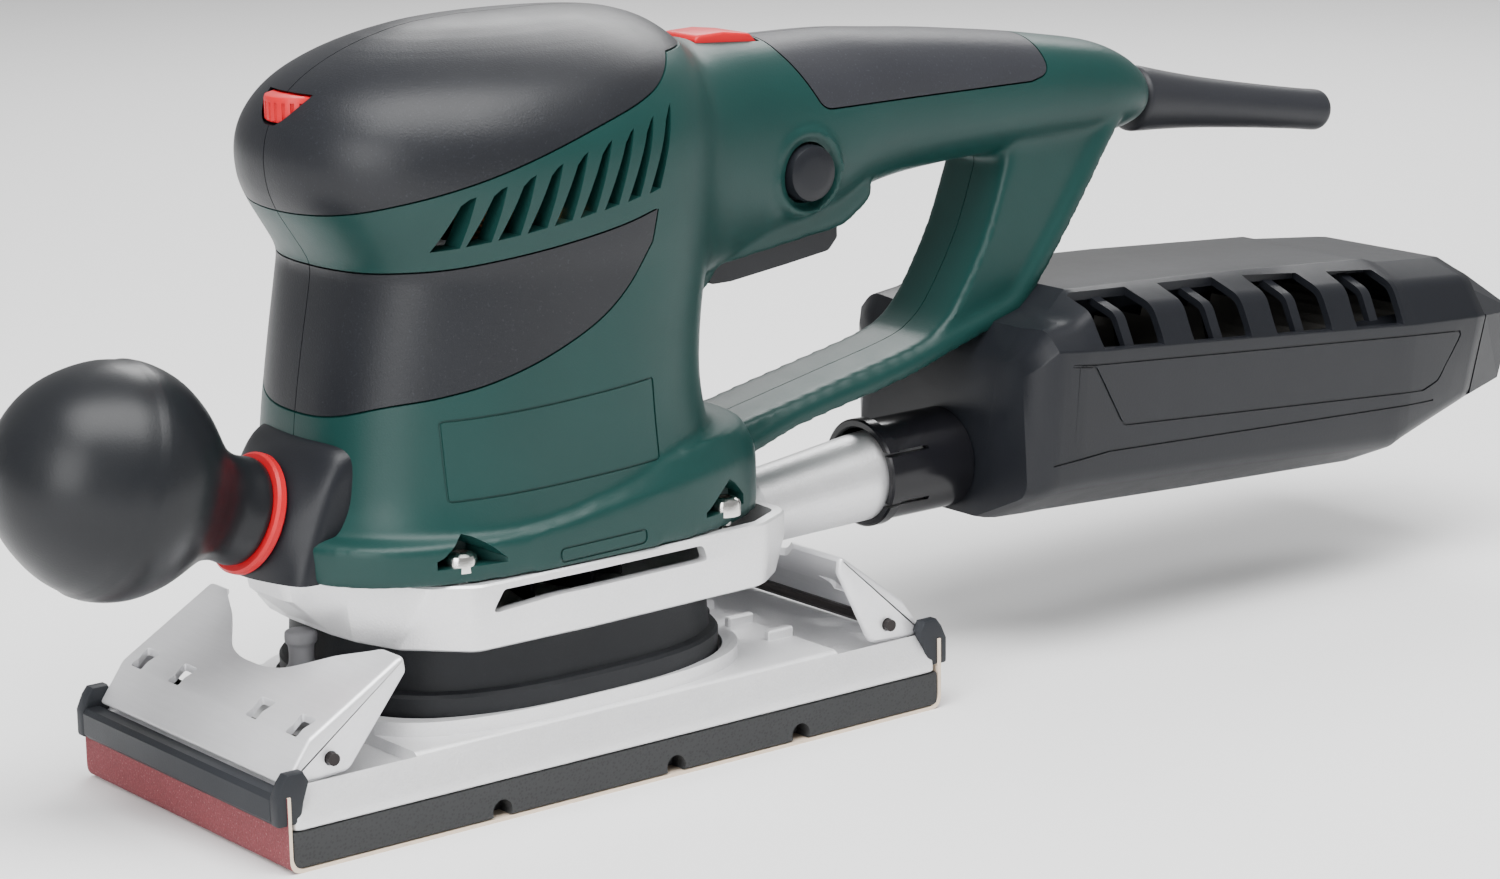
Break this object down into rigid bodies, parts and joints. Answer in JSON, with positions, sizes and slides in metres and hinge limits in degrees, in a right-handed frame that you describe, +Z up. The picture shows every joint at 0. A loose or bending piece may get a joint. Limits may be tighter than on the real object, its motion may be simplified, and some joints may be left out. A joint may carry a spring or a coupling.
{
  "type": "orbital finishing sander",
  "caption": "Orbital finishing sander with rectangular clamped pad, motor housing, ball knob, D-handle with trigger, and dust box on an extraction tube.",
  "frame": {"origin": "centre of the sanding face, on the underside of the sandpaper", "axes": "+Z up out of the sanding face, +X rearwards to the handle and the dust box, +Y to the right of someone who pushes the sander along -X"},
  "size_m": [0.4563, 0.092, 0.1796],
  "materials": {
    "green_plastic": "fine moulded texture",
    "soft_grip": "speckled soft-touch overmould",
    "black_plastic": "satin moulded",
    "satin_knob": "fine satin",
    "red_plastic": "semi-gloss",
    "cast_alloy": "fine blasted casting",
    "black_rubber": "matt",
    "grey_rubber": "matt",
    "pressed_steel": "plated pressed sheet",
    "dark_steel": "blackened",
    "bright_steel": "bright plated",
    "laminated_steel": "stacked laminations",
    "copper": "wound and varnished",
    "brass": "drawn",
    "abrasive": "coarse grit on paper backing",
    "foam": "closed-cell foam",
    "filter_paper": "folded filter paper"
  },
  "bodies": {
    "housing": {"shell_left": "green_plastic", "shell_right": "green_plastic", "cap_grip_left": "soft_grip", "cap_grip_right": "soft_grip", "band_grip_left": "soft_grip", "band_grip_right": "soft_grip", "handle_grip_left": "soft_grip", "handle_grip_right": "soft_grip", "flange_screw_1": "bright_steel", "flange_screw_2": "bright_steel", "flange_screw_3": "bright_steel", "flange_screw_4": "bright_steel", "shell_screw_1": "dark_steel", "shell_screw_2": "dark_steel", "shell_screw_3": "dark_steel", "shell_screw_4": "dark_steel", "knob_bracket": "black_plastic", "knob_ring": "red_plastic", "knob_stud": "bright_steel", "cord_sleeve": "black_rubber", "switch_unit": "black_plastic", "speed_control": "black_plastic", "stator": "laminated_steel", "upper_bearing": "bright_steel", "lower_bearing": "bright_steel", "brush_left": "brass", "brush_right": "brass", "lower_housing": "cast_alloy", "extraction_tube": "cast_alloy"},
    "rotor": {"rotor_shaft": "bright_steel", "armature": "copper", "commutator": "copper", "fan": "black_plastic", "eccentric": "cast_alloy"},
    "pad": {"pad_plate": "cast_alloy", "pad_foam": "foam", "sandpaper": "abrasive", "eccentric_bearing": "bright_steel", "boot": "black_rubber", "leg_1": "grey_rubber", "leg_2": "grey_rubber", "leg_3": "grey_rubber", "leg_4": "grey_rubber", "front_clamp_pin": "dark_steel", "front_clamp_spring": "dark_steel", "rear_clamp_pin": "dark_steel", "rear_clamp_spring": "dark_steel"},
    "front_clamp": {"front_clamp_lever": "pressed_steel", "front_clamp_jaw": "black_plastic"},
    "rear_clamp": {"rear_clamp_lever": "pressed_steel", "rear_clamp_jaw": "black_plastic"},
    "trigger": {"trigger": "black_plastic"},
    "lock_button": {"lock_button": "black_plastic"},
    "boost_button": {"boost_button": "red_plastic"},
    "speed_dial": {"speed_dial": "red_plastic"},
    "front_knob": {"front_knob": "satin_knob"},
    "dust_box": {"dust_box": "black_plastic", "dust_collar": "black_plastic"},
    "filter_cartridge": {"filter_frame": "black_plastic", "filter_element": "filter_paper"}
  },
  "joints": [
    {"name": "rotor_spin", "type": "hinge", "parent": "housing", "child": "rotor", "pos_m": [-0.0096, 0, 0.09], "axis": [0, 0, 1], "continuous": true},
    {"name": "pad_orbit", "type": "hinge", "parent": "rotor", "child": "pad", "pos_m": [-0.0085, 0, 0.0157], "axis": [0, 0, 1], "continuous": true},
    {"name": "front_clamp_swing", "type": "hinge", "parent": "pad", "child": "front_clamp", "pos_m": [-0.081, 0, 0.0234], "axis": [0, 1, 0], "range_deg": [0, 20], "stiffness_Nm_per_rad": 0.5, "springref_deg": -17.19},
    {"name": "rear_clamp_swing", "type": "hinge", "parent": "pad", "child": "rear_clamp", "pos_m": [0.081, 0, 0.0234], "axis": [0, -1, 0], "range_deg": [0, 20], "stiffness_Nm_per_rad": 0.5, "springref_deg": -17.19},
    {"name": "trigger_press", "type": "slide", "parent": "housing", "child": "trigger", "axis": [0, 0, 1], "range_m": [0, 0.004], "stiffness_N_per_m": 600, "springref_m": -0.002},
    {"name": "lock_press", "type": "slide", "parent": "housing", "child": "lock_button", "axis": [0, 1, 0], "range_m": [0, 0.003], "stiffness_N_per_m": 500, "springref_m": -0.001},
    {"name": "boost_press", "type": "slide", "parent": "housing", "child": "boost_button", "axis": [0, 0, -1], "range_m": [0, 0.0015], "stiffness_N_per_m": 800, "springref_m": -0.001},
    {"name": "dial_turn", "type": "hinge", "parent": "housing", "child": "speed_dial", "pos_m": [-0.055, 0, 0.1626], "axis": [0, 0, 1], "range_deg": [-140, 140]},
    {"name": "knob_turn", "type": "hinge", "parent": "housing", "child": "front_knob", "pos_m": [-0.0748, 0, 0.0705], "axis": [-0.9317, 0, 0.3633], "range_deg": [0, 360]},
    {"name": "dust_box_slide", "type": "slide", "parent": "housing", "child": "dust_box", "axis": [0.9975, 0, 0.0704], "range_m": [0, 0.04]},
    {"name": "cartridge_slide", "type": "slide", "parent": "dust_box", "child": "filter_cartridge", "axis": [1, 0, 0], "range_m": [0, 0.12]}
  ],
  "couplings": [
    {"joint": "pad_orbit", "follows": "rotor_spin", "ratio": -1}
  ]
}
